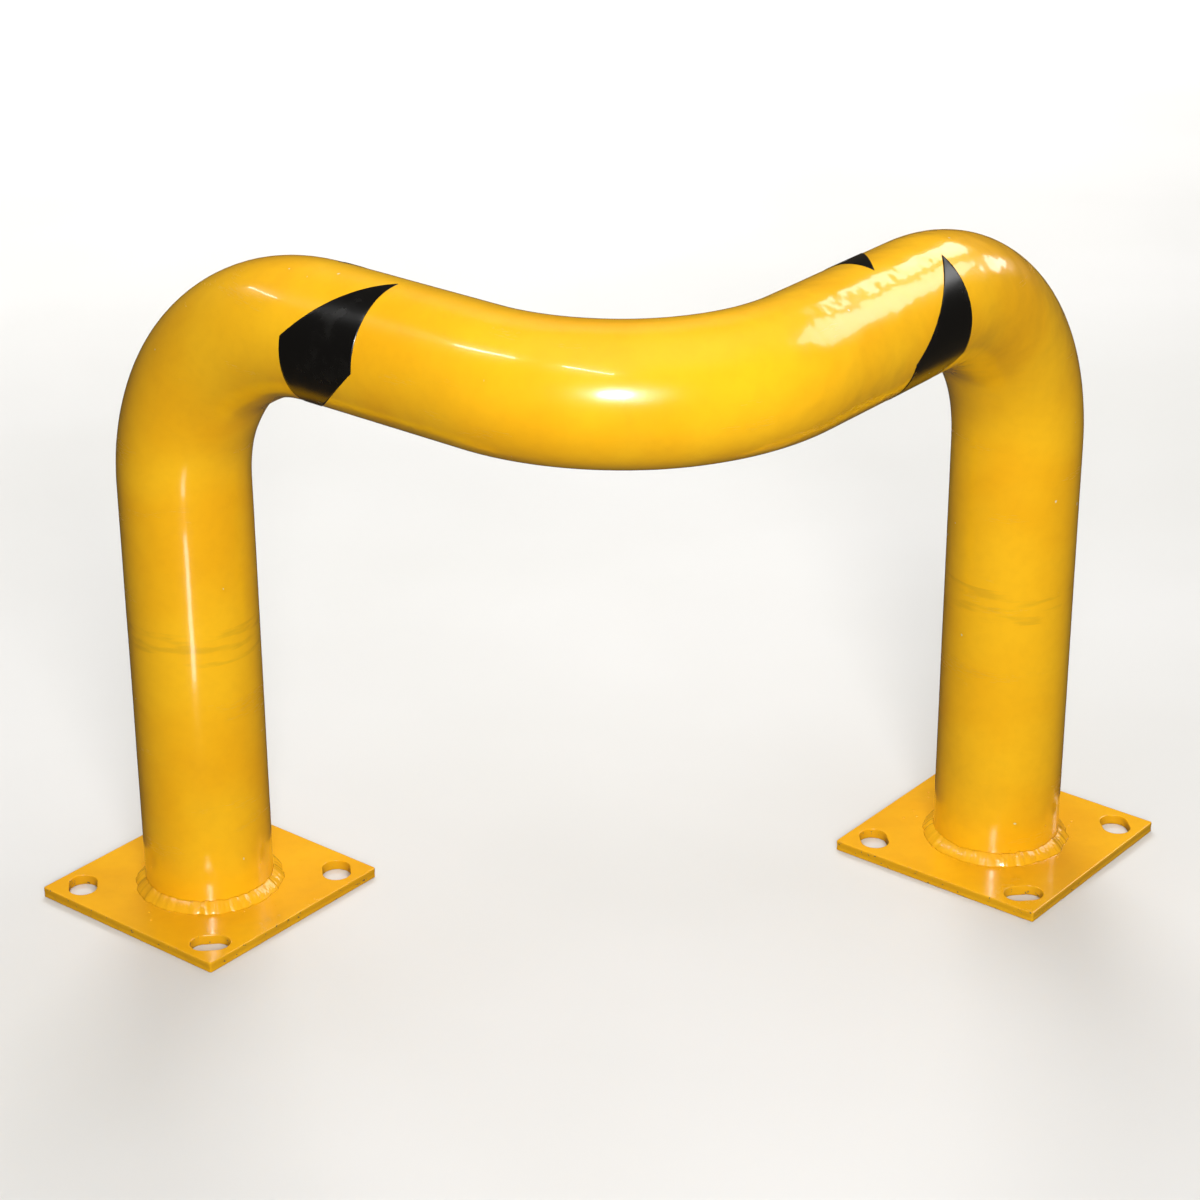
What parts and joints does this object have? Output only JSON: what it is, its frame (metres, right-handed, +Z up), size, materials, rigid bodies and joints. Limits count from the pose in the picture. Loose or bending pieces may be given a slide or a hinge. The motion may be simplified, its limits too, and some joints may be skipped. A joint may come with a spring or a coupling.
{
  "type": "corner guard rail",
  "caption": "Floor-mounted steel corner guard: a pipe bent into two legs and an L-shaped rail, on slotted base plates, painted yellow with black hazard stripes.",
  "frame": {"origin": "on the floor, at the middle of the part's bounding box in plan", "axes": "+Z up; +X from the left leg to the right leg, seen from the outside of the corner; the corner of the rail points to -Y"},
  "size_m": [1.0138, 0.493, 0.6259],
  "materials": {
    "pipe_enamel": "gloss safety-yellow powder coat with a light orange peel, over bent steel pipe",
    "plate_enamel": "gloss safety-yellow powder coat on flame-cut steel plate, edges slightly rough",
    "weld_enamel": "gloss safety-yellow powder coat over a rippled hand-made fillet weld",
    "stripe_vinyl": "gloss black self-adhesive vinyl"
  },
  "bodies": {
    "root": {"bent_pipe": "pipe_enamel", "base_plate_left": "plate_enamel", "base_plate_right": "plate_enamel", "weld_bead_left": "weld_enamel", "weld_bead_right": "weld_enamel", "stripe_left_outer": "stripe_vinyl", "stripe_left_inner": "stripe_vinyl", "stripe_right_outer": "stripe_vinyl", "stripe_right_inner": "stripe_vinyl"}
  },
  "joints": []
}
